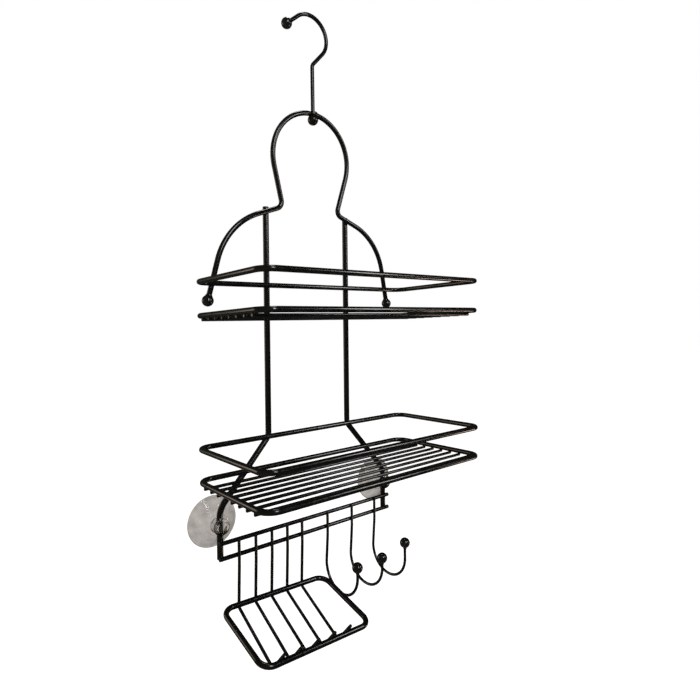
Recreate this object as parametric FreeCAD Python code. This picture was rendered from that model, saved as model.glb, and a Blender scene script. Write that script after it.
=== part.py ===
import FreeCAD
import Part
import math
import os
from FreeCAD import Vector

# Hanging shower caddy bent and welded from round wire, with a swivelling hanger hook and
# two suction cups that steady it against the wall. All dimensions are in millimetres.
#
# Frame: the origin is the point of the hanger hook's bend that rests on the shower pipe,
# straight above the stem. +X is the viewer's right, -Y the front and +Z up.

# ---- Wire sizes and ball tips
HOOK_WIRE = 4.0
TOP_WIRE = 5.1
UPRIGHT_WIRE = 6.0
RAIL_WIRE = 5.0
BAR_WIRE = 4.2
DISH_RIM_WIRE = 5.2
THIN_WIRE = 3.0
BALL = 11.0
WELD_SET_DOWN = 0.2
END_ROUNDING = 0.5

# ---- Hanger hook, in the plane y = 0
HOOK_BEND_RADIUS = 21.2
HOOK_BEND_X = -2.5
HOOK_TIP_SLOPE = 41.4
HOOK_TIP_LENGTH = 18.8
HOOK_RETURN_SLOPE = 48.5
HOOK_KINK_RADIUS = 6.0

# ---- Top frame wire: a loop, a neck and two sloping shoulders that end in balls
EYE_Z = -98.6
EYE_DIAMETER = 10.0
EYE_HEIGHT = 3.4
EYE_BORE = 4.2
SWIVEL_GAP = 0.3
SWIVEL_SEAT_DEPTH = 1.5
LOOP_RADIUS = 47.0
NECK_SLOPE = 15.5
NECK_RADIUS = 7.0
SHOULDER_DROP = 104.6
SHOULDER_SLOPE = 19.8
SHOULDER_RADIUS = 67.4
ARM_SLOPE = 76.25
ARM_END_X = 113.35
ARM_END_DROP = 194.1

# ---- Uprights
UPRIGHT_X = 50.7
UPRIGHT_Y = 12.2
UPRIGHT_LEAN = 0.32
UPRIGHT_TOP_Z = -198.2
SPLAY_TOP_Z = -426.5
SPLAY_BOTTOM_Z = -487.8
SPLAY_TOP_RADIUS = 12.0
SPLAY_BOTTOM_RADIUS = 20.0
POST_X = 104.6
POST_BOTTOM_Z = -534.4

# ---- Shelves: each has a guard rail above a floor rim, both welded across the uprights
SHELF_HALF_WIDTH = 127.8
SHELF_DEPTH = 118.3
RAIL_CORNER_RADIUS = 12.0
RIM_CORNER_RADIUS = 13.0
UPPER_RAIL_Z = -276.4
UPPER_RIM_Z = -306.6
UPPER_TILT = 1.6
LOWER_RAIL_Z = -425.6
LOWER_RIM_Z = -455.2
LOWER_TILT = 0.7
FLOOR_WIRES = 8
FLOOR_WIRE_MARGIN = 15.5
FLOOR_WIRE_HALF_LENGTH = 128.9
FLOOR_SET_DOWN = 0.3

# ---- Rack below the shelves
BAR_HALF_LENGTH = 108.0
TOP_BAR_Z = -518.3
BOTTOM_BAR_Z = -532.7
DROP_WIRE_TOP_Z = -517.0
LEAN_START_Z = -539.4
LEAN_RADIUS = 60.0

# ---- Soap dish
DISH_CENTRE = Vector(-50.9, -33.8, -588.6)
DISH_HALF_WIDTH = 58.0
DISH_HALF_DEPTH = 38.7
DISH_CORNER_RADIUS = 11.0
DISH_PITCH = 13.3
DISH_ROLL = 2.4
DISH_WIRE_FIRST_X = -89.3
DISH_WIRE_PITCH = 18.0
DISH_WIRES = 5
DISH_BEND_DROP = 4.5
DISH_BEND_RADIUS = 3.5
DISH_VALLEY_Y = -52.0
DISH_VALLEY_DEPTH = 20.4
DISH_VALLEY_RADIUS = 6.0
DISH_TIP_OVERHANG = 4.0

# ---- Utility hooks
UTILITY_HOOK_FIRST_X = 15.7
UTILITY_HOOK_PITCH = 33.8
UTILITY_HOOK_BACK_Y = 10.3
UTILITY_HOOK_FLAT = 1.2
UTILITY_HOOK_FRONT_Y = -42.9
UTILITY_HOOK_BOTTOM_Z = -595.4
UTILITY_HOOK_TIP_Z = (-559.9, -559.9, -553.3)

# ---- Suction cups, threaded on the posts, lip towards the wall
CUP_Z = -503.0
CUP_RADIUS = 24.8
CUP_LIP_WIDTH = 1.2
CUP_LIP_OFFSET = 17.0
CUP_HOLLOW_OFFSET = 11.4
CUP_HEAD_RADIUS = 7.8
CUP_HEAD_FRONT = -7.2
CUP_HEAD_BACK = 4.2
CUP_HEAD_ROUNDING = 2.5
CUP_NECK_RADIUS = 6.6
CUP_NECK_LENGTH = 1.0
CUP_SHOULDER = 2.2
CUP_BORE = 6.2

# ---- Derived positions
WELD_Y = UPRIGHT_Y - (UPRIGHT_WIRE + TOP_WIRE) / 2 + WELD_SET_DOWN
TOP_WIRE_LEAN = math.asin(WELD_Y / SHOULDER_DROP)
POST_Y = UPRIGHT_Y + (UPRIGHT_TOP_Z - SPLAY_BOTTOM_Z) * math.tan(math.radians(UPRIGHT_LEAN))
BAR_Y = POST_Y - (UPRIGHT_WIRE + BAR_WIRE) / 2 + WELD_SET_DOWN
DROP_WIRE_Y = BAR_Y - (BAR_WIRE + THIN_WIRE) / 2 + WELD_SET_DOWN
SWIVEL_Z = EYE_Z - EYE_HEIGHT / 2 + SWIVEL_SEAT_DEPTH - SWIVEL_GAP - BALL / 2
X_AXIS = Vector(1, 0, 0)
Y_AXIS = Vector(0, 1, 0)
Z_AXIS = Vector(0, 0, 1)
ORIGIN = Vector(0, 0, 0)


def rounded_path(points, radii):
    """Edges of a polyline whose inner corners are rounded with the given radii."""
    edges = []
    start = points[0]
    for before, corner, after, radius in zip(points, points[1:], points[2:], radii):
        arriving = (corner - before).normalize()
        leaving = (after - corner).normalize()
        half_turn = arriving.getAngle(leaving) / 2
        setback = radius * math.tan(half_turn)
        first = corner - arriving * setback
        last = corner + leaving * setback
        inwards = (leaving - arriving).normalize()
        middle = corner + inwards * (radius / math.cos(half_turn) - radius)
        edges.append(Part.LineSegment(start, first).toShape())
        edges.append(Part.Arc(first, middle, last).toShape())
        start = last
    edges.append(Part.LineSegment(start, points[-1]).toShape())
    return edges


def rod_along(edges, diameter):
    """Round wire that follows the edges."""
    first = edges[0]
    start = first.Vertexes[0].Point
    direction = first.tangentAt(first.FirstParameter)
    section = Part.Wire([Part.makeCircle(diameter / 2, start, direction)])
    return Part.Wire(edges).makePipe(Part.Face(section))


def round_ends(rod, rounding=END_ROUNDING):
    """The rod with the edges of its two cut ends rounded."""
    ends = [face for face in rod.Faces if face.Surface.TypeId == "Part::GeomPlane"]
    edges = [edge for face in ends for edge in face.Edges]
    return rod.makeFillet(rounding, edges)


def straight_rod(start, end, diameter):
    """Straight round wire with rounded ends."""
    length = (end - start).Length
    rod = Part.makeCylinder(diameter / 2, length, start, end - start)
    return round_ends(rod)


def ball_at(centre):
    return Part.makeSphere(BALL / 2, centre)


def hook_plane_point(angle):
    """Point of the hanger hook's bend at an angle in degrees from +X."""
    turn = math.radians(angle)
    x = HOOK_BEND_X + HOOK_BEND_RADIUS * math.cos(turn)
    z = hook_bend_z() + HOOK_BEND_RADIUS * math.sin(turn)
    return Vector(x, 0, z)


def hook_bend_z():
    """Height of the bend's centre that puts its inner side at the origin above the stem."""
    inner_radius = HOOK_BEND_RADIUS - HOOK_WIRE / 2
    return -math.sqrt(inner_radius ** 2 - HOOK_BEND_X ** 2)


def hook_tip():
    """Centre of the ball on the hanger hook's tip."""
    slope = math.radians(HOOK_TIP_SLOPE)
    outwards = Vector(-math.cos(slope), 0, -math.sin(slope))
    return hook_plane_point(90 + HOOK_TIP_SLOPE) + outwards * HOOK_TIP_LENGTH


def build_hanger_hook():
    """Stem, kink, three-quarter bend and straight tip of the hanger hook."""
    bend_start = hook_plane_point(HOOK_RETURN_SLOPE - 90)
    bend_top = hook_plane_point(90)
    bend_end = hook_plane_point(90 + HOOK_TIP_SLOPE)
    slope = math.radians(HOOK_RETURN_SLOPE)
    kink = bend_start - Vector(1, 0, math.tan(slope)) * bend_start.x
    stem_foot = Vector(0, 0, SWIVEL_Z)
    edges = rounded_path([stem_foot, kink, bend_start], [HOOK_KINK_RADIUS])
    edges.append(Part.Arc(bend_start, bend_top, bend_end).toShape())
    edges.append(Part.LineSegment(bend_end, hook_tip()).toShape())
    return rod_along(edges, HOOK_WIRE)


def slope_direction(degrees):
    """Direction in the plane y = 0 that climbs towards -X at the given slope."""
    slope = math.radians(degrees)
    return Vector(-math.cos(slope), 0, math.sin(slope))


def crossing(first, first_direction, second, second_direction):
    """Crossing point of two lines in the plane y = 0."""
    gap = second - first
    area = first_direction.x * second_direction.z - first_direction.z * second_direction.x
    along = (gap.x * second_direction.z - gap.z * second_direction.x) / area
    return first + first_direction * along


def top_wire_half(side):
    """Corner points of the arm, shoulder and neck of the top wire, from the arm's end to the loop."""
    neck = math.radians(NECK_SLOPE)
    loop_end = Vector(LOOP_RADIUS * math.cos(neck), 0, -LOOP_RADIUS * (1 + math.sin(neck)))
    arm_end = Vector(ARM_END_X, 0, -ARM_END_DROP)
    weld = Vector(UPRIGHT_X, 0, -SHOULDER_DROP)
    arm_direction = slope_direction(ARM_SLOPE)
    shoulder_direction = slope_direction(SHOULDER_SLOPE)
    neck_direction = Vector(-math.sin(neck), 0, -math.cos(neck))
    shoulder_corner = crossing(arm_end, arm_direction, weld, shoulder_direction)
    neck_corner = crossing(loop_end, neck_direction, weld, shoulder_direction)
    points = [arm_end, shoulder_corner, neck_corner, loop_end]
    return [Vector(side * point.x, 0, point.z) for point in points]


def lean_back(shape):
    """Tilts a shape drawn in the plane below the eye so that its lower end lies further back."""
    shape.rotate(ORIGIN, X_AXIS, math.degrees(TOP_WIRE_LEAN))
    shape.translate(Vector(0, 0, EYE_Z))
    return shape


def build_top_frame():
    """Loop, neck, shoulders and arms in one wire, flattened and bored for the hook's stem."""
    left = top_wire_half(-1)
    right = top_wire_half(1)
    radii = [SHOULDER_RADIUS, NECK_RADIUS]
    edges = rounded_path(left, radii)
    edges.append(Part.Arc(left[-1], ORIGIN, right[-1]).toShape())
    edges.extend(rounded_path(right[::-1], radii[::-1]))
    wire = lean_back(rod_along(edges, TOP_WIRE))
    for z in (EYE_Z + EYE_HEIGHT / 2, EYE_Z - EYE_HEIGHT / 2 - TOP_WIRE):
        corner = Vector(-EYE_DIAMETER / 2 - 1, -TOP_WIRE, z)
        wire = wire.cut(Part.makeBox(EYE_DIAMETER + 2, 2 * TOP_WIRE, TOP_WIRE, corner))
    foot = Vector(0, 0, EYE_Z - EYE_HEIGHT / 2)
    eye = Part.makeCylinder(EYE_DIAMETER / 2, EYE_HEIGHT, foot)
    eye = eye.makeFillet(0.9, [edge for edge in eye.Edges if edge.Closed])
    seat = Part.makeSphere(BALL / 2 + SWIVEL_GAP, Vector(0, 0, SWIVEL_Z))
    bore = Part.makeCylinder(EYE_BORE / 2, 4 * EYE_HEIGHT, foot - Z_AXIS * EYE_HEIGHT)
    return wire.fuse(eye).cut(seat.fuse(bore))


def build_shoulder_ball(side):
    return lean_back(ball_at(Vector(side * ARM_END_X, 0, -ARM_END_DROP)))


def upright_y(z):
    """Depth of the uprights' centreline, which leans slightly back towards its lower end."""
    return UPRIGHT_Y + (UPRIGHT_TOP_Z - z) * math.tan(math.radians(UPRIGHT_LEAN))


def build_upright(side):
    """Straight wire that splays out below the lower shelf's rail and ends as a vertical post."""
    points = [
        Vector(side * UPRIGHT_X, UPRIGHT_Y, UPRIGHT_TOP_Z),
        Vector(side * UPRIGHT_X, upright_y(SPLAY_TOP_Z), SPLAY_TOP_Z),
        Vector(side * POST_X, POST_Y, SPLAY_BOTTOM_Z),
        Vector(side * POST_X, POST_Y, POST_BOTTOM_Z),
    ]
    edges = rounded_path(points, [SPLAY_TOP_RADIUS, SPLAY_BOTTOM_RADIUS])
    return round_ends(rod_along(edges, UPRIGHT_WIRE))


def rounded_ring(half_width, front_y, back_y, corner_radius, diameter):
    """Closed rectangular ring of wire in the plane z = 0."""
    points = [
        Vector(0, back_y, 0),
        Vector(half_width, back_y, 0),
        Vector(half_width, front_y, 0),
        Vector(-half_width, front_y, 0),
        Vector(-half_width, back_y, 0),
        Vector(0, back_y, 0),
    ]
    return rod_along(rounded_path(points, [corner_radius] * 4), diameter)


def place_on_shelf(shape, back_z, tilt):
    """Moves a shape drawn in the plane z = 0, with its back at y = 0, to a shelf rising to the front."""
    back_y = upright_y(back_z) - (UPRIGHT_WIRE + RAIL_WIRE) / 2 + WELD_SET_DOWN
    shape.rotate(ORIGIN, X_AXIS, -tilt)
    shape.translate(Vector(0, back_y, back_z))
    return shape


def build_shelf_ring(back_z, tilt, corner_radius):
    ring = rounded_ring(SHELF_HALF_WIDTH, -SHELF_DEPTH, 0, corner_radius, RAIL_WIRE)
    return place_on_shelf(ring, back_z, tilt)


def build_floor_wire(index, back_z, tilt):
    """Straight floor wire under the rim's two side wires."""
    pitch = (SHELF_DEPTH - 2 * FLOOR_WIRE_MARGIN) / (FLOOR_WIRES - 1)
    y = -FLOOR_WIRE_MARGIN - pitch * index
    z = -(RAIL_WIRE + THIN_WIRE) / 2 + FLOOR_SET_DOWN
    start = Vector(-FLOOR_WIRE_HALF_LENGTH, y, z)
    end = Vector(FLOOR_WIRE_HALF_LENGTH, y, z)
    return place_on_shelf(straight_rod(start, end, THIN_WIRE), back_z, tilt)


def build_bar(z):
    return straight_rod(Vector(-BAR_HALF_LENGTH, BAR_Y, z), Vector(BAR_HALF_LENGTH, BAR_Y, z), BAR_WIRE)


def dish_placement():
    """Position of the soap dish's rim plane: pitched down to the front and rolled to one side."""
    pitch = FreeCAD.Rotation(X_AXIS, DISH_PITCH)
    roll = FreeCAD.Rotation(Y_AXIS, DISH_ROLL)
    return FreeCAD.Placement(DISH_CENTRE, roll.multiply(pitch))


def dish_rim_point(x, across):
    """Point of the rim's centreline at a given x, on the back or front side wire."""
    along = (x - DISH_CENTRE.x) / math.cos(math.radians(DISH_ROLL))
    return dish_placement().multVec(Vector(along, across, 0))


def build_dish_rim():
    depth = DISH_HALF_DEPTH
    ring = rounded_ring(DISH_HALF_WIDTH, -depth, depth, DISH_CORNER_RADIUS, DISH_RIM_WIRE)
    ring.Placement = dish_placement()
    return ring


def build_dish_wire(index):
    """Wire from the rack down behind the rim, forward to the valley and up onto the front rim."""
    x = DISH_WIRE_FIRST_X + DISH_WIRE_PITCH * index
    back = dish_rim_point(x, DISH_HALF_DEPTH)
    front = dish_rim_point(x, -DISH_HALF_DEPTH)
    reach = (DISH_RIM_WIRE + THIN_WIRE) / 2 - WELD_SET_DOWN
    bend = Vector(x, back.y + reach, back.z - DISH_BEND_DROP)
    share = (back.y - DISH_VALLEY_Y) / (back.y - front.y)
    plane_z = back.z + (front.z - back.z) * share
    valley = Vector(x, DISH_VALLEY_Y, plane_z - DISH_VALLEY_DEPTH)
    run = valley.y - front.y
    rise = front.z - valley.z
    distance = math.hypot(run, rise)
    climb = math.atan2(rise, run) + math.asin(reach / distance)
    length = math.sqrt(distance ** 2 - reach ** 2) + DISH_TIP_OVERHANG
    tip = valley + Vector(0, -math.cos(climb), math.sin(climb)) * length
    points = [
        Vector(x, DROP_WIRE_Y, DROP_WIRE_TOP_Z),
        Vector(x, DROP_WIRE_Y, LEAN_START_Z),
        bend,
        valley,
        tip,
    ]
    radii = [LEAN_RADIUS, DISH_BEND_RADIUS, DISH_VALLEY_RADIUS]
    return round_ends(rod_along(rounded_path(points, radii), THIN_WIRE))


def utility_hook_x(index):
    return UTILITY_HOOK_FIRST_X + UTILITY_HOOK_PITCH * index


def build_utility_hook(index):
    """J-shaped hook from the rack down, round and up to its ball."""
    x = utility_hook_x(index)
    bend_radius = (UTILITY_HOOK_BACK_Y - UTILITY_HOOK_FRONT_Y) / 2 - UTILITY_HOOK_FLAT
    points = [
        Vector(x, DROP_WIRE_Y, DROP_WIRE_TOP_Z),
        Vector(x, DROP_WIRE_Y, LEAN_START_Z),
        Vector(x, UTILITY_HOOK_BACK_Y, UTILITY_HOOK_BOTTOM_Z),
        Vector(x, UTILITY_HOOK_FRONT_Y, UTILITY_HOOK_BOTTOM_Z),
        Vector(x, UTILITY_HOOK_FRONT_Y, UTILITY_HOOK_TIP_Z[index]),
    ]
    return rod_along(rounded_path(points, [LEAN_RADIUS, bend_radius, bend_radius]), THIN_WIRE)


def build_utility_ball(index):
    return ball_at(Vector(utility_hook_x(index), UTILITY_HOOK_FRONT_Y, UTILITY_HOOK_TIP_Z[index]))


def build_suction_cup(side):
    """Moulded cup turned about the wall's normal, with a vertical bore through its head."""

    def at(radius, offset):
        return Vector(radius, offset, 0)

    rounding = CUP_HEAD_ROUNDING
    slant = rounding * (1 - math.sqrt(0.5))
    skirt_start = CUP_HEAD_BACK + CUP_SHOULDER
    face_edge = at(CUP_HEAD_RADIUS - rounding, CUP_HEAD_FRONT)
    face_corner = at(CUP_HEAD_RADIUS - slant, CUP_HEAD_FRONT + slant)
    head_side = at(CUP_HEAD_RADIUS, CUP_HEAD_FRONT + rounding)
    head_end = at(CUP_HEAD_RADIUS, CUP_HEAD_BACK)
    neck_start = at(CUP_NECK_RADIUS, skirt_start - CUP_NECK_LENGTH)
    neck_end = at(CUP_NECK_RADIUS, skirt_start)
    lip_front = at(CUP_RADIUS, CUP_LIP_OFFSET - CUP_LIP_WIDTH)
    lip_back = at(CUP_RADIUS, CUP_LIP_OFFSET)
    skirt = Part.BSplineCurve()
    skirt.interpolate([neck_end, at(10.0, 8.0), at(16.0, 11.0), lip_front])
    outline = [
        Part.LineSegment(at(0, CUP_HEAD_FRONT), face_edge),
        Part.Arc(face_edge, face_corner, head_side),
        Part.LineSegment(head_side, head_end),
        Part.LineSegment(head_end, neck_start),
        Part.LineSegment(neck_start, neck_end),
        skirt,
        Part.LineSegment(lip_front, lip_back),
        Part.LineSegment(lip_back, at(0, CUP_LIP_OFFSET)),
        Part.LineSegment(at(0, CUP_LIP_OFFSET), at(0, CUP_HEAD_FRONT)),
    ]
    section = Part.Face(Part.Wire([edge.toShape() for edge in outline]))
    cup = section.revolve(ORIGIN, Y_AXIS, 360)
    depth = CUP_LIP_OFFSET - CUP_HOLLOW_OFFSET
    hollow_radius = ((CUP_RADIUS - CUP_LIP_WIDTH) ** 2 + depth ** 2) / (2 * depth)
    hollow = Part.makeSphere(hollow_radius, at(0, CUP_HOLLOW_OFFSET + hollow_radius))
    bore_start = Z_AXIS * (-2 * CUP_HEAD_RADIUS)
    bore = Part.makeCylinder(CUP_BORE / 2, 4 * CUP_HEAD_RADIUS, bore_start)
    cup = cup.cut(hollow).cut(bore).Solids[0]
    cup.translate(Vector(side * POST_X, POST_Y, CUP_Z))
    return cup


def all_nodes():
    """Every separate piece by name."""
    nodes = {
        "hanger_hook": build_hanger_hook(),
        "hook_tip_ball": ball_at(hook_tip()),
        "swivel_ball": ball_at(Vector(0, 0, SWIVEL_Z)),
        "top_frame": build_top_frame(),
        "upper_rail": build_shelf_ring(UPPER_RAIL_Z, UPPER_TILT, RAIL_CORNER_RADIUS),
        "upper_floor_rim": build_shelf_ring(UPPER_RIM_Z, UPPER_TILT, RIM_CORNER_RADIUS),
        "lower_rail": build_shelf_ring(LOWER_RAIL_Z, LOWER_TILT, RAIL_CORNER_RADIUS),
        "lower_floor_rim": build_shelf_ring(LOWER_RIM_Z, LOWER_TILT, RIM_CORNER_RADIUS),
        "rack_top_bar": build_bar(TOP_BAR_Z),
        "rack_bottom_bar": build_bar(BOTTOM_BAR_Z),
        "soap_dish_rim": build_dish_rim(),
    }
    for name, side in (("left", -1), ("right", 1)):
        nodes[name + "_shoulder_ball"] = build_shoulder_ball(side)
        nodes[name + "_upright"] = build_upright(side)
        nodes[name + "_suction_cup"] = build_suction_cup(side)
    for index in range(FLOOR_WIRES):
        number = str(index + 1)
        nodes["upper_floor_wire_" + number] = build_floor_wire(index, UPPER_RIM_Z, UPPER_TILT)
        nodes["lower_floor_wire_" + number] = build_floor_wire(index, LOWER_RIM_Z, LOWER_TILT)
    for index in range(DISH_WIRES):
        nodes["soap_dish_wire_" + str(index + 1)] = build_dish_wire(index)
    for index in range(len(UTILITY_HOOK_TIP_Z)):
        number = str(index + 1)
        nodes["utility_hook_" + number] = build_utility_hook(index)
        nodes["utility_hook_ball_" + number] = build_utility_ball(index)
    return nodes


os.makedirs("parts", exist_ok=True)
for node, shape in all_nodes().items():
    shape.exportStep("parts/" + node + ".step")
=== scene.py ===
import math
import random
import bmesh
import bpy
import numpy as np
from mathutils import Matrix, Vector


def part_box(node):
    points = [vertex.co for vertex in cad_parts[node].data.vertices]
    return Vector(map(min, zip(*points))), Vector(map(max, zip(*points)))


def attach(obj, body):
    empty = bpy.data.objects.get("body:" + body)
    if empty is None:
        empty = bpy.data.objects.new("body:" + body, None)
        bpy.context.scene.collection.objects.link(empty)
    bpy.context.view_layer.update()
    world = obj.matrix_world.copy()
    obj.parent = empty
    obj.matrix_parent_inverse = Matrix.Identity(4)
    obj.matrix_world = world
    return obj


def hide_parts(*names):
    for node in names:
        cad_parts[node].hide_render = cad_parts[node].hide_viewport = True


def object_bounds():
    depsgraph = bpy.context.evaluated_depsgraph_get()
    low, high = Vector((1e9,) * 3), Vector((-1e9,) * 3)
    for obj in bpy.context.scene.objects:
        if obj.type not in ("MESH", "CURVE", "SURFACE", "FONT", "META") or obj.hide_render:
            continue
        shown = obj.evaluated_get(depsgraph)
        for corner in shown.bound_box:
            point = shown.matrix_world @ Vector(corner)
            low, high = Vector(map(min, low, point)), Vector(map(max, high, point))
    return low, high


# Looks of a hanging wire shower caddy: black coated wire with weld fillets at its crossings,
# moulded ball caps and clear vinyl suction cups, in a plain studio. All lengths are in metres.

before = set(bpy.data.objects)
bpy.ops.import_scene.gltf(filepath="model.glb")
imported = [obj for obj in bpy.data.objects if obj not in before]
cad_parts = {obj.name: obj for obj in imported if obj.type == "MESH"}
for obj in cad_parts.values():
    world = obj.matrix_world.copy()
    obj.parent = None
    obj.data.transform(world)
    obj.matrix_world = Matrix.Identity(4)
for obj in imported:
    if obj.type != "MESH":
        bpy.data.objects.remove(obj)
cad_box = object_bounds()
dice = random.Random(11)

MM = 0.001
ON_AXIS = 1e-7
X, Y, Z = 0, 1, 2
# Colour sockets of a Mix node
MIX_COLOUR_A, MIX_COLOUR_B, MIX_COLOUR_RESULT = 6, 7, 2

# ---- Camera
CAMERA_PLACE = Vector((-0.3282, -0.4485, -0.3131))
CAMERA_YAW = 39.844
CAMERA_PITCH = -0.683
CAMERA_ROLL = -0.791
CAMERA_LENS = 27.472
CAMERA_SHIFT_Y = -0.0318
CAMERA_CLIP_START = 0.02

# ---- Studio
FLOOR_DROP = 0.16
FLOOR_RADIUS = 9.0
FLOOR_SEGMENTS = 96
FLOOR_COLOUR = (0.9, 0.9, 0.895)
FLOOR_GLOW = 1.0
ROOM_LEFT = (0.085, 0.078, 0.064)
ROOM_RIGHT = (0.022, 0.023, 0.022)
STUDIO_AIM = Vector((0, -0.05, -0.32))
# Each light's place, width, height, power and colour.
LIGHTS = {
    "key": ((0.95, -1.1, 0.1), 0.16, 0.6, 3.0, (1.0, 0.985, 0.96)),
    "window": ((-0.16, -1.4, 0.42), 0.3, 0.75, 7, (1.0, 1.0, 1.0)),
    "top": ((0.3, 0.2, 1.1), 0.3, 0.3, 2.5, (1.0, 1.0, 1.0)),
    "left_card": ((-1.25, 1.25, -0.15), 0.8, 0.9, 3.4, (1.0, 0.84, 0.68)),
    "low_right": ((1.1, -0.6, -1.0), 0.2, 0.2, 1.4, (1.0, 0.74, 0.6)),
}

# ---- Wires: each kind's radius, by a part of the piece's name
WIRE_RADII = {
    "floor_wire": 1.5 * MM, "dish_wire": 1.5 * MM, "utility_hook": 1.5 * MM, "dish_rim": 2.6 * MM,
    "bar": 2.1 * MM, "upright": 3.0 * MM, "top_frame": 2.55 * MM, "rail": 2.5 * MM, "floor_rim": 2.5 * MM,
    "hanger_hook": 2.0 * MM,
}
WIRE_SEARCH = 9 * MM
SLICE_STEP = 0.5 * MM
# Keeps the slicing planes off the mesh's own vertices.
SLICE_OFFSET = 0.01
UPRIGHT_SEARCH = 45 * MM
SHOULDER_SEARCH = 12 * MM
SHOULDER_BELOW_TOP = 5 * MM
ARM_SEARCH = 20 * MM
ARM_X = 110 * MM
CROSSING_LEAD = 2 * MM
RIM_SEARCH = 2.2
FLOOR_WIRES = 8
DISH_WIRES = 5
UTILITY_HOOKS = 3
FILLET_SEGMENTS = 24
FILLET_RINGS = 8
FILLET_WAIST = 0.16
FILLET_SINK = 0.06 * MM
FILLET_LUMPS = 0.09
FILLET_HEAD_LIMIT = 0.98

# ---- Ball caps
BALL_SEGMENTS = 64
BALL_STEPS = 96
WIRE_OUTSIDE = 0.6 * MM
SEAM_HEIGHT = 0.07 * MM
SEAM_ANGLE = 2.2
COLLAR_WALL = 0.45 * MM
COLLAR_LENGTH = 1.3 * MM
COLLAR_FOOT = 1.25
# Shares of the collar's radius and of its length, from the ball outwards.
COLLAR_SHAPE = [(1.1, 0.1), (1.0, 0.45), (0.97, 0.85), (0.88, 1.0), (0.0, 1.0)]

# ---- Suction cups, turned about the wall's normal; offsets run from the post towards the wall
CUP_SEGMENTS = 144
CUP_BORE = 3.1 * MM
DRILL_HALF_LENGTH = 14 * MM
DRILL_SEGMENTS = 96
VINYL_DARK = (0.27, 0.25, 0.235)
VINYL_LIGHT = (0.44, 0.415, 0.39)
# Near-black painted shade, mixed into the vinyl's colour where its surface is seen edge-on.
VINYL_PAINTED_EDGE_SHADE = (0.07, 0.075, 0.075)
CUP_FRONT = [(0.0, -7.2), (3.4, -7.15), (4.6, -6.75), (5.3, -7.05), (6.2, -6.9), (7.2, -6.1), (7.75, -4.9)]
CUP_HEAD_SIDE = [(7.8, -3.6), (7.8, 2.6), (7.7, 3.5), (7.2, 4.1)]
CUP_NECK = [(6.75, 4.5), (6.6, 5.2), (6.8, 6.0), (7.8, 6.5)]
CUP_SKIRT = [(9.6, 6.7), (10.3, 6.95), (10.6, 7.6), (11.6, 8.1), (13.5, 8.75), (16.0, 9.95), (19.0, 11.7),
            (21.6, 13.5)]
CUP_LIP = [(22.9, 14.4), (23.3, 14.4), (23.9, 14.85), (24.5, 15.3), (24.8, 16.0), (24.78, 16.6),
           (24.5, 16.95),
           (24.1, 17.0)]
CUP_BACK = [(23.2, 16.75), (21.5, 16.0), (19.0, 14.9), (15.0, 13.6), (11.0, 12.6), (7.0, 11.9), (3.0, 11.5),
            (0.0, 11.4)]


# ---------------------------------------------------------------- camera, floor and lights

def make_camera():
    yaw, pitch, roll = (math.radians(a) for a in (CAMERA_YAW, CAMERA_PITCH, CAMERA_ROLL))
    forward = Vector((math.sin(yaw) * math.cos(pitch), math.cos(yaw) * math.cos(pitch), math.sin(pitch)))
    level = Vector((math.cos(yaw), -math.sin(yaw), 0))
    above = level.cross(forward)
    right = level * math.cos(roll) + above * math.sin(roll)
    up = above * math.cos(roll) - level * math.sin(roll)
    data = bpy.data.cameras.new("camera")
    data.lens = CAMERA_LENS
    data.shift_y = CAMERA_SHIFT_Y
    data.clip_start = CAMERA_CLIP_START
    camera = bpy.data.objects.new("camera", data)
    turn = Matrix((right, up, -forward)).transposed().to_4x4()
    camera.matrix_world = Matrix.Translation(CAMERA_PLACE) @ turn
    bpy.context.scene.collection.objects.link(camera)
    bpy.context.scene.camera = camera


def add_light(name, place, width, height, power, colour):
    data = bpy.data.lights.new(name, "AREA")
    data.shape = "RECTANGLE"
    data.size = width
    data.size_y = height
    data.energy = power
    data.color = colour
    lamp = bpy.data.objects.new(name, data)
    place = Vector(place)
    turn = (STUDIO_AIM - place).to_track_quat("-Z", "Y").to_matrix().to_4x4()
    lamp.matrix_world = Matrix.Translation(place) @ turn
    lamp.visible_camera = False
    bpy.context.scene.collection.objects.link(lamp)


def make_world():
    """White behind the object; the room it mirrors is dim, and lighter and warmer at the left."""
    world = bpy.data.worlds.new("studio")
    bpy.context.scene.world = world
    world.use_nodes = True
    tree = world.node_tree
    nodes, links = tree.nodes, tree.links
    room = nodes["Background"]
    output = nodes["World Output"]
    room.inputs["Strength"].default_value = 1.0
    where = nodes.new("ShaderNodeTexCoord")
    split = nodes.new("ShaderNodeSeparateXYZ")
    links.new(where.outputs["Generated"], split.inputs[0])
    side = nodes.new("ShaderNodeValToRGB")
    side.color_ramp.elements[0].position = 0.0
    side.color_ramp.elements[0].color = (*ROOM_LEFT, 1)
    side.color_ramp.elements[1].position = 1.0
    side.color_ramp.elements[1].color = (*ROOM_RIGHT, 1)
    across = nodes.new("ShaderNodeMapRange")
    across.inputs["From Min"].default_value = -0.7
    across.inputs["From Max"].default_value = 0.3
    links.new(split.outputs["X"], across.inputs["Value"])
    links.new(across.outputs["Result"], side.inputs["Fac"])
    links.new(side.outputs["Color"], room.inputs["Color"])
    white = nodes.new("ShaderNodeBackground")
    white.inputs["Color"].default_value = (1, 1, 1, 1)
    ray = nodes.new("ShaderNodeLightPath")
    pick = nodes.new("ShaderNodeMixShader")
    links.new(ray.outputs["Is Camera Ray"], pick.inputs["Fac"])
    links.new(room.outputs[0], pick.inputs[1])
    links.new(white.outputs[0], pick.inputs[2])
    links.new(pick.outputs[0], output.inputs["Surface"])


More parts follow.
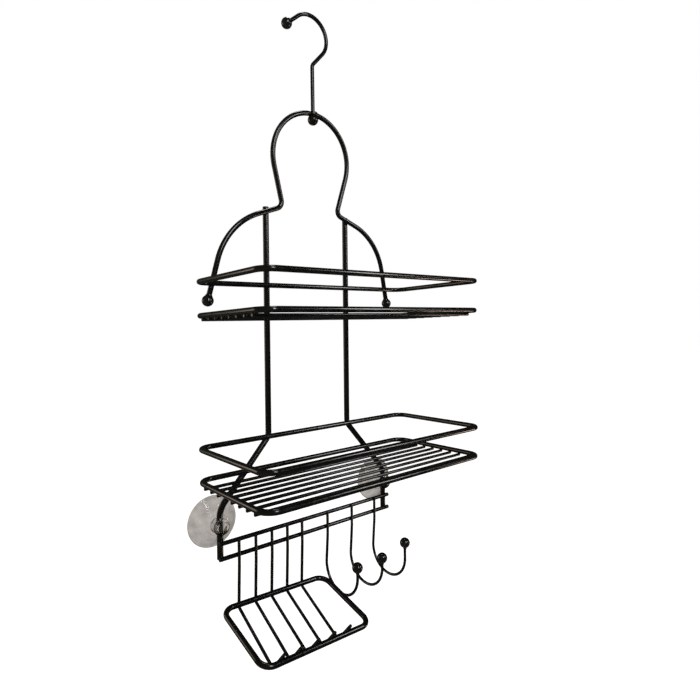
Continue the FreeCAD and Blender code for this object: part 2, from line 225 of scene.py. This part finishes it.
def make_floor(lowest):
    """Large round floor some way below the hanging object."""
    mesh = bmesh.new()
    bmesh.ops.create_circle(mesh, cap_ends=True, segments=FLOOR_SEGMENTS, radius=FLOOR_RADIUS)
    data = bpy.data.meshes.new("floor")
    mesh.to_mesh(data)
    mesh.free()
    floor = bpy.data.objects.new("floor", data)
    floor.location.z = lowest - FLOOR_DROP
    bpy.context.scene.collection.objects.link(floor)
    material = bpy.data.materials.new("floor_paper")
    material.use_nodes = True
    shader = material.node_tree.nodes["Principled BSDF"]
    shader.inputs["Base Color"].default_value = (*FLOOR_COLOUR, 1)
    shader.inputs["Roughness"].default_value = 0.9
    shader.inputs["Specular IOR Level"].default_value = 0.1
    shader.inputs["Emission Color"].default_value = (1, 1, 1, 1)
    shader.inputs["Emission Strength"].default_value = FLOOR_GLOW
    data.materials.append(material)
    floor.visible_glossy = False


# ---------------------------------------------------------------- materials

class Recipe:
    """A Principled material whose textures read the object's own coordinates."""

    def __init__(self, name):
        self.material = bpy.data.materials.new(name)
        self.material.use_nodes = True
        self.nodes = self.material.node_tree.nodes
        self.links = self.material.node_tree.links
        self.shader = self.nodes["Principled BSDF"]
        self.place = self.nodes.new("ShaderNodeTexCoord").outputs["Object"]
        self.normal = None

    def set(self, **values):
        for name, value in values.items():
            self.shader.inputs[name.replace("_", " ")].default_value = value

    def noise(self, size, detail=3.0, rough=0.55):
        """Noise whose blotches are about the given size across."""
        node = self.nodes.new("ShaderNodeTexNoise")
        node.inputs["Scale"].default_value = 1 / size
        node.inputs["Detail"].default_value = detail
        node.inputs["Roughness"].default_value = rough
        self.links.new(self.place, node.inputs["Vector"])
        return node.outputs["Fac"]

    def ramp(self, value, *stops):
        node = self.nodes.new("ShaderNodeValToRGB")
        elements = node.color_ramp.elements
        while len(elements) < len(stops):
            elements.new(0.5)
        for element, (position, colour) in zip(elements, stops):
            element.position = position
            element.color = (*colour, 1)
        self.links.new(value, node.inputs["Fac"])
        return node.outputs["Color"]

    def spread(self, value, low, high, start=0.3, end=0.7):
        node = self.nodes.new("ShaderNodeMapRange")
        node.inputs["From Min"].default_value = start
        node.inputs["From Max"].default_value = end
        node.inputs["To Min"].default_value = low
        node.inputs["To Max"].default_value = high
        self.links.new(value, node.inputs["Value"])
        return node.outputs["Result"]

    def bump(self, height, distance, strength=1.0):
        node = self.nodes.new("ShaderNodeBump")
        node.inputs["Distance"].default_value = distance
        node.inputs["Strength"].default_value = strength
        self.links.new(height, node.inputs["Height"])
        if self.normal:
            self.links.new(self.normal, node.inputs["Normal"])
        self.normal = node.outputs["Normal"]

    def finish(self, colour, roughness):
        self.links.new(colour, self.shader.inputs["Base Color"])
        self.links.new(roughness, self.shader.inputs["Roughness"])
        if self.normal:
            self.links.new(self.normal, self.shader.inputs["Normal"])
        return self.material


def coated_wire_material():
    """Glossy black powder coat: a slow run of thickness, fine orange peel and a few dull patches."""
    recipe = Recipe("coated_wire")
    recipe.set(IOR=1.5, Coat_Weight=0.45, Coat_Roughness=0.1, Coat_IOR=1.5)
    patches = recipe.noise(14 * MM, 4)
    peel = recipe.noise(1.1 * MM, 2)
    runs = recipe.noise(6 * MM, 2)
    specks = recipe.noise(0.45 * MM, 1)
    recipe.bump(runs, 0.05 * MM, 0.5)
    recipe.bump(peel, 0.007 * MM, 0.6)
    recipe.bump(recipe.spread(specks, 0, 1, 0.7, 0.82), 0.005 * MM, 0.6)
    colour = recipe.ramp(patches, (0.3, (0.0016, 0.0016, 0.0012)), (0.62, (0.0036, 0.0035, 0.0026)),
                         (0.75, (0.0062, 0.0056, 0.0042)))
    return recipe.finish(colour, recipe.spread(patches, 0.14, 0.26))


def ball_cap_material():
    """Moulded black plastic, smoother than the coated wire, with faint flow marks."""
    recipe = Recipe("ball_cap")
    recipe.set(IOR=1.49, Coat_Weight=0.6, Coat_Roughness=0.03)
    flow = recipe.noise(3.2 * MM, 3)
    grain = recipe.noise(0.5 * MM, 2)
    recipe.bump(flow, 0.07 * MM, 0.5)
    recipe.bump(grain, 0.008 * MM, 0.5)
    colour = recipe.ramp(flow, (0.3, (0.003, 0.003, 0.003)), (0.7, (0.010, 0.0098, 0.0095)))
    return recipe.finish(colour, recipe.spread(flow, 0.06, 0.13))


def clear_vinyl_material():
    """Soft clear vinyl, smoky and cloudy; darker where a wall is seen edge-on, as painted shade standing in
    for the dim room mirrored at the outlines.
    """
    recipe = Recipe("clear_vinyl")
    recipe.set(IOR=1.42, Transmission_Weight=1.0)
    haze = recipe.noise(9 * MM, 3)
    wave = recipe.noise(16 * MM, 0)
    recipe.bump(wave, 0.08 * MM, 0.6)
    # Painted shade: the vinyl's colour turns near-black where its surface is seen edge-on, standing in for
    # the dim room mirrored at the outlines.
    edge = recipe.nodes.new("ShaderNodeLayerWeight")
    edge.inputs["Blend"].default_value = 0.4
    body = recipe.ramp(haze, (0.3, VINYL_DARK), (0.7, VINYL_LIGHT))
    colour = recipe.nodes.new("ShaderNodeMix")
    colour.data_type = "RGBA"
    recipe.links.new(recipe.spread(edge.outputs["Facing"], 0, 1, 0.2, 0.8), colour.inputs["Factor"])
    recipe.links.new(body, colour.inputs[MIX_COLOUR_A])
    colour.inputs[MIX_COLOUR_B].default_value = (*VINYL_PAINTED_EDGE_SHADE, 1)
    return recipe.finish(colour.outputs[MIX_COLOUR_RESULT], recipe.spread(haze, 0.0, 0.03))


# ---------------------------------------------------------------- pieces

def new_piece(name, mesh, material, body, sharp=42):
    """Turns a bmesh in the frame's coordinates into a smooth piece that rides on a body."""
    bmesh.ops.recalc_face_normals(mesh, faces=mesh.faces)
    data = bpy.data.meshes.new(name)
    mesh.to_mesh(data)
    mesh.free()
    data.shade_smooth()
    data.set_sharp_from_angle(angle=math.radians(sharp))
    data.materials.append(material)
    piece = bpy.data.objects.new(name, data)
    bpy.context.scene.collection.objects.link(piece)
    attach(piece, body)
    return piece


def turn_profile(mesh, profile, origin, axis, segments):
    """Adds a closed solid of revolution. The profile is (radius, distance along the axis) pairs."""
    axis = Vector(axis).normalized()
    first = axis.orthogonal().normalized()
    second = axis.cross(first)
    rings = []
    for radius, along in profile:
        centre = origin + axis * along
        if radius < ON_AXIS:
            rings.append([mesh.verts.new(centre)])
            continue
        ring = []
        for k in range(segments):
            angle = 2 * math.pi * k / segments
            way = first * math.cos(angle) + second * math.sin(angle)
            ring.append(mesh.verts.new(centre + way * radius))
        rings.append(ring)
    for one, other in zip(rings, rings[1:]):
        for k in range(segments):
            corners = [one[k % len(one)], one[(k + 1) % len(one)],
                       other[(k + 1) % len(other)], other[k % len(other)]]
            mesh.faces.new(list(dict.fromkeys(corners)))


def smooth_profile(points, steps=5):
    """Catmull-Rom curve through the points."""
    curve = []
    padded = [points[0], *points, points[-1]]
    for before, start, end, after in zip(padded, padded[1:], padded[2:], padded[3:]):
        for k in range(steps):
            t = k / steps
            curve.append(tuple(
                0.5 * (2 * b + (c - a) * t + (2 * a - 5 * b + 4 * c - d) * t * t
                       + (3 * b - a - 3 * c + d) * t ** 3)
                for a, b, c, d in zip(before, start, end, after)))
    return curve + [points[-1]]


# ---------------------------------------------------------------- where the wires run

outlines = {}


def outline(node):
    """Vertices and edges of a piece's mesh, as arrays."""
    if node not in outlines:
        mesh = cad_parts[node].data
        points = np.empty(len(mesh.vertices) * 3)
        mesh.vertices.foreach_get("co", points)
        edges = np.empty(len(mesh.edges) * 2, int)
        mesh.edges.foreach_get("vertices", edges)
        outlines[node] = points.reshape(-1, 3), edges.reshape(-1, 2)
    return outlines[node]


def slice_centre(node, axis, value, around, search=WIRE_SEARCH):
    """Centre of the wire where the plane axis = value cuts it near a point, or None."""
    points, edges = outline(node)
    start, end = points[edges[:, 0]], points[edges[:, 1]]
    below, above = start[:, axis] - value, end[:, axis] - value
    cut = below * above < 0
    share = below[cut] / (below[cut] - above[cut])
    hits = start[cut] + (end[cut] - start[cut]) * share[:, None]
    hits = hits[np.linalg.norm(hits - np.array(around), axis=1) < search]
    if len(hits) < 6:
        return None
    return Vector((hits.min(0) + hits.max(0)) / 2)


def wire_near(node, axis, around, reach=8):
    """Point of a wire's centreline nearest to a point, and the wire's direction there."""
    found = []
    for k in range(-reach, reach + 1):
        centre = slice_centre(node, axis, around[axis] + (k + SLICE_OFFSET) * SLICE_STEP, around)
        if centre is not None:
            found.append(centre)
    nearest = min(range(len(found)), key=lambda i: (found[i] - around).length)
    last = len(found) - 1
    direction = found[min(nearest + 1, last)] - found[max(nearest - 1, 0)]
    return found[nearest], direction.normalized()


def half_thickness(node):
    """Radius of a wire, from its piece's name."""
    for kind, radius in WIRE_RADII.items():
        if kind in node:
            return radius
    raise KeyError(node)


def add_fillet(mesh, first, first_axis, second, second_axis, near):
    """Weld fillet between two crossing wires: a waisted collar round the point where they touch."""
    near = Vector(near)
    one, _ = wire_near(first, first_axis, near)
    two, two_way = wire_near(second, second_axis, one)
    one, one_way = wire_near(first, first_axis, two)
    across = (two - one).normalized()
    radius_one, radius_two = half_thickness(first), half_thickness(second)
    reach_one = min(0.8 * radius_one, 1.3 * radius_two)
    reach_two = min(0.96 * radius_two, radius_one)
    side = (one_way - across * one_way.dot(across)).normalized()
    other = across.cross(side)
    lumps = [dice.uniform(-FILLET_LUMPS, FILLET_LUMPS) for _ in range(3)]
    phases = [dice.uniform(0, 2 * math.pi) for _ in range(3)]
    rings = []
    for r in range(FILLET_RINGS + 1):
        t = r / FILLET_RINGS
        ring = []
        for k in range(FILLET_SEGMENTS):
            angle = 2 * math.pi * k / FILLET_SEGMENTS
            way = side * math.cos(angle) + other * math.sin(angle)
            lump = 1 + sum(a * math.sin((n + 1) * angle + p) for n, (a, p) in enumerate(zip(lumps, phases)))
            foot = reach_one * lump
            head = min(reach_two * lump, FILLET_HEAD_LIMIT * radius_two)
            rise_one = math.sqrt(max(radius_one ** 2 - (foot * way.cross(one_way).length) ** 2, 0))
            rise_two = math.sqrt(max(radius_two ** 2 - (head * way.cross(two_way).length) ** 2, 0))
            low = one + across * (rise_one - FILLET_SINK)
            high = two - across * (rise_two - FILLET_SINK)
            out = (foot + (head - foot) * t) * (1 - FILLET_WAIST * math.sin(math.pi * t))
            ring.append(mesh.verts.new(low.lerp(high, t) + way * out))
        rings.append(ring)
    for lower, upper in zip(rings, rings[1:]):
        for k in range(FILLET_SEGMENTS):
            n = (k + 1) % FILLET_SEGMENTS
            mesh.faces.new((lower[k], lower[n], upper[n], upper[k]))
    mesh.faces.new(rings[0])
    mesh.faces.new(rings[-1])


def middle(node):
    low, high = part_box(node)
    return (low + high) / 2


def make_floor_welds(shelf, material):
    """Fillets where each floor wire crosses the two side wires of the rim above it."""
    rim = shelf + "_floor_rim"
    low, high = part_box(rim)
    mesh = bmesh.new()
    for number in range(1, FLOOR_WIRES + 1):
        wire = f"{shelf}_floor_wire_{number}"
        place = middle(wire)
        for edge in (low.x + half_thickness(rim), high.x - half_thickness(rim)):
            add_fillet(mesh, rim, Y, wire, X, (edge, place.y, place.z + CROSSING_LEAD))
    new_piece(shelf + "_floor_welds", mesh, material, "caddy")


def make_frame_welds(material):
    """Fillets where the rings, the top wire and the rack's bars cross the uprights."""
    mesh = bmesh.new()
    for side, sign in (("left", -1), ("right", 1)):
        upright = side + "_upright"
        low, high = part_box(upright)
        inner = high.x - half_thickness(upright) if sign < 0 else low.x + half_thickness(upright)
        outer = low.x + half_thickness(upright) if sign < 0 else high.x - half_thickness(upright)
        depth = (low.y + high.y) / 2
        for ring in ("upper_rail", "upper_floor_rim", "lower_rail", "lower_floor_rim"):
            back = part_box(ring)
            height = back[0].z + half_thickness(ring)
            post = slice_centre(upright, Z, height, (inner, depth, height), UPRIGHT_SEARCH)
            add_fillet(mesh, ring, X, upright, Z, (post.x, back[1].y - half_thickness(ring), height))
        below_top = (inner, depth, high.z - SHOULDER_BELOW_TOP)
        shoulder = slice_centre("top_frame", X, inner, below_top, SHOULDER_SEARCH)
        add_fillet(mesh, "top_frame", X, upright, Z, shoulder)
        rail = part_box("upper_rail")
        height = rail[0].z + half_thickness("upper_rail")
        arm = slice_centre("top_frame", Z, height, (sign * ARM_X, depth, height), ARM_SEARCH)
        add_fillet(mesh, "upper_rail", X, "top_frame", Z, arm)
        for bar in ("rack_top_bar", "rack_bottom_bar"):
            add_fillet(mesh, bar, X, upright, Z, (outer, middle(bar).y, middle(bar).z))
    new_piece("frame_welds", mesh, material, "caddy")


def make_rack_welds(material):
    """Fillets between the rack's bars and its hanging wires, and between the dish's wires and rim."""
    mesh = bmesh.new()
    dish_wires = [f"soap_dish_wire_{n}" for n in range(1, DISH_WIRES + 1)]
    hooks = [f"utility_hook_{n}" for n in range(1, UTILITY_HOOKS + 1)]
    for wire in dish_wires + hooks:
        for bar in ("rack_top_bar", "rack_bottom_bar"):
            place = middle(bar)
            add_fillet(mesh, wire, Z, bar, X, (middle(wire).x, place.y - CROSSING_LEAD, place.z))
    rim_low, rim_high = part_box("soap_dish_rim")
    for wire in dish_wires:
        x = middle(wire).x
        for inwards, edge in ((-1, rim_high), (1, rim_low)):
            around = (x, edge.y + inwards * half_thickness("dish_rim"), rim_middle_height(x, edge.y))
            add_fillet(mesh, "soap_dish_rim", X, wire, Z, around)
    new_piece("rack_welds", mesh, material, "caddy")


def rim_middle_height(x, y):
    """Height of the dish rim's wire at a given x, on the side whose outer face is at y."""
    points, edges = outline("soap_dish_rim")
    start, end = points[edges[:, 0]], points[edges[:, 1]]
    cut = (start[:, X] - x) * (end[:, X] - x) < 0
    share = (x - start[cut, X]) / (end[cut, X] - start[cut, X])
    hits = start[cut] + (end[cut] - start[cut]) * share[:, None]
    hits = hits[abs(hits[:, Y] - y) < RIM_SEARCH * half_thickness("dish_rim")]
    return (hits[:, Z].min() + hits[:, Z].max()) / 2


def make_ball(node, body, material, wire, axis, collar=True):
    """Ball cap: a sphere with a fine mould seam and a short collar where the wire enters it."""
    low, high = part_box(node)
    centre, radius = (low + high) / 2, (high - low).x / 2
    start = wire_into(wire, axis, centre, radius)
    way = (start - centre).normalized()
    profile = []
    neck = half_thickness(wire) + COLLAR_WALL
    for k in range(BALL_STEPS + 1):
        angle = 180 * k / BALL_STEPS
        bulge = SEAM_HEIGHT * max(0, 1 - abs(angle - 90) / SEAM_ANGLE)
        r = (radius - SEAM_HEIGHT + bulge) * math.sin(math.radians(angle))
        along = -(radius - SEAM_HEIGHT + bulge) * math.cos(math.radians(angle))
        if collar and along > 0 and r < neck * COLLAR_FOOT:
            break
        profile.append((r if 0 < k < BALL_STEPS else 0, along))
    if collar:
        edge = radius * math.cos(math.asin(neck / radius))
        profile += [(neck * wide, edge + far * COLLAR_LENGTH) for wide, far in COLLAR_SHAPE]
    mesh = bmesh.new()
    turn_profile(mesh, profile, centre, way, BALL_SEGMENTS)
    piece = new_piece(node + "_cap", mesh, material, body)
    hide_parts(node)


def wire_into(wire, axis, centre, radius):
    """Point of a wire's centreline just outside the ball that it ends in."""
    for sign in (1, -1):
        value = centre[axis] + sign * (radius + WIRE_OUTSIDE)
        pole = Vector(centre) + Vector([sign * radius * (i == axis) for i in range(3)])
        found = slice_centre(wire, axis, value, pole)
        if found is not None:
            return found
    raise ValueError(wire)


def make_cup(side, material):
    """Suction cup moulding, turned about the wall's normal and bored for its post."""
    node = side + "_suction_cup"
    low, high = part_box(node)
    centre = Vector(((low.x + high.x) / 2, low.y - CUP_FRONT[0][1] * MM, (low.z + high.z) / 2))
    points = smooth_profile(CUP_FRONT + CUP_HEAD_SIDE + CUP_NECK + CUP_SKIRT + CUP_LIP + CUP_BACK)
    profile = [(max(r, 0) * MM, y * MM) for r, y in points]
    mesh = bmesh.new()
    turn_profile(mesh, profile, centre, (0, 1, 0), CUP_SEGMENTS)
    piece = new_piece(side + "_cup_moulding", mesh, material, side + "_cup", 60)
    drill_mesh = bmesh.new()
    far = DRILL_HALF_LENGTH
    turn_profile(drill_mesh, [(0, -far), (CUP_BORE, -far), (CUP_BORE, far), (0, far)], centre, (0, 0, 1),
                 DRILL_SEGMENTS)
    bmesh.ops.recalc_face_normals(drill_mesh, faces=drill_mesh.faces)
    drill_data = bpy.data.meshes.new("drill")
    drill_mesh.to_mesh(drill_data)
    drill_mesh.free()
    drill = bpy.data.objects.new("drill", drill_data)
    bpy.context.scene.collection.objects.link(drill)
    cut = piece.modifiers.new("bore", "BOOLEAN")
    cut.operation = "DIFFERENCE"
    cut.solver = "EXACT"
    cut.object = drill
    bpy.context.view_layer.update()
    bored = bpy.data.meshes.new_from_object(piece.evaluated_get(bpy.context.evaluated_depsgraph_get()))
    piece.modifiers.clear()
    piece.data = bored
    bored.name = piece.name
    bored.shade_smooth()
    bored.set_sharp_from_angle(angle=math.radians(40))
    bpy.data.objects.remove(drill)
    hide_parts(node)


# ---------------------------------------------------------------- build

make_camera()
make_world()
make_floor(cad_box[0].z)
for name, settings in LIGHTS.items():
    add_light(name, *settings)
bpy.context.scene.view_settings.view_transform = "Standard"

wire_paint = coated_wire_material()
ball_plastic = ball_cap_material()
vinyl = clear_vinyl_material()

for name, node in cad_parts.items():
    node.data.materials.clear()
    node.data.materials.append(ball_plastic if "ball" in name else vinyl if "cup" in name else wire_paint)

make_floor_welds("upper", wire_paint)
make_floor_welds("lower", wire_paint)
make_frame_welds(wire_paint)
make_rack_welds(wire_paint)
make_ball("hook_tip_ball", "hanger", ball_plastic, "hanger_hook", X)
make_ball("swivel_ball", "hanger", wire_paint, "hanger_hook", Z, collar=False)
for side in ("left", "right"):
    make_ball(side + "_shoulder_ball", "caddy", ball_plastic, "top_frame", Z)
for number in range(1, UTILITY_HOOKS + 1):
    hook = f"utility_hook_{number}"
    make_ball(f"utility_hook_ball_{number}", "caddy", ball_plastic, hook, Z)
for side in ("left", "right"):
    make_cup(side, vinyl)
